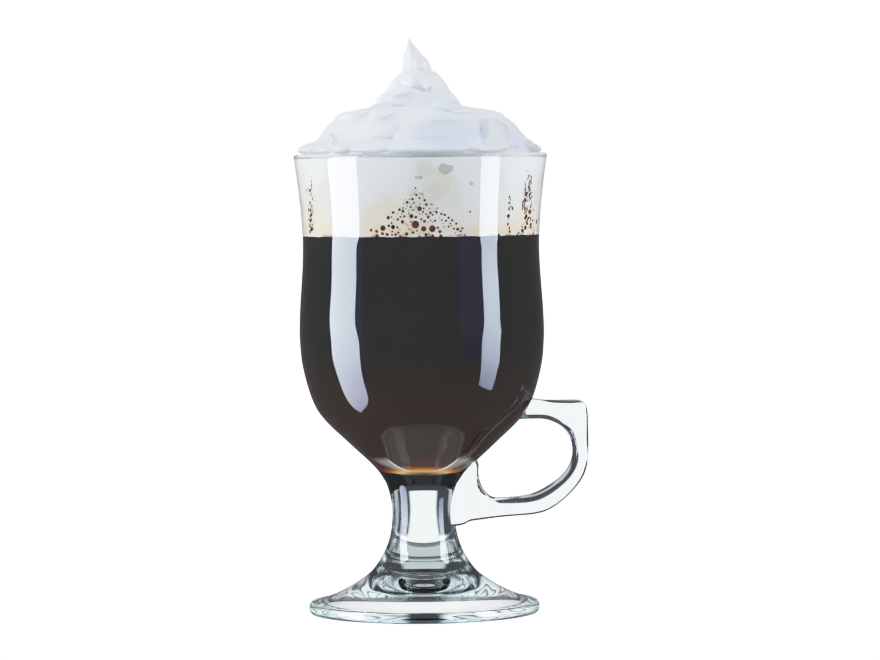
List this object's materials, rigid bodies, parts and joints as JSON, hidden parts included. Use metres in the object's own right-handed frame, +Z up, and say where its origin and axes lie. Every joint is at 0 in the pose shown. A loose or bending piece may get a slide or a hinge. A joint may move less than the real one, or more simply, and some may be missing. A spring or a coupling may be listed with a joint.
{
  "type": "irish coffee glass mug",
  "caption": "Footed clear glass mug with a flared bowl, short stem and low loop handle, filled with coffee, a cream layer and a peak of whipped cream.",
  "frame": {"origin": "on the mug's axis, at the centre of the flat ring that the foot stands on", "axes": "+Z up along the mug's axis to the rim, +X from the axis to the handle"},
  "size_m": [0.0891, 0.0774, 0.175],
  "materials": {
    "clear_glass": "clear pressed glass, fire polished",
    "coffee": "still liquid, nearly black, brown where it is thin",
    "cream_foam": "soft cream foam with bubbles against the glass",
    "whipped_cream": "soft white whipped cream"
  },
  "bodies": {
    "root": {"bowl": "clear_glass", "stem": "clear_glass", "foot": "clear_glass", "handle": "clear_glass", "coffee": "coffee", "cream_layer": "cream_foam", "whipped_cream": "whipped_cream"}
  },
  "joints": []
}
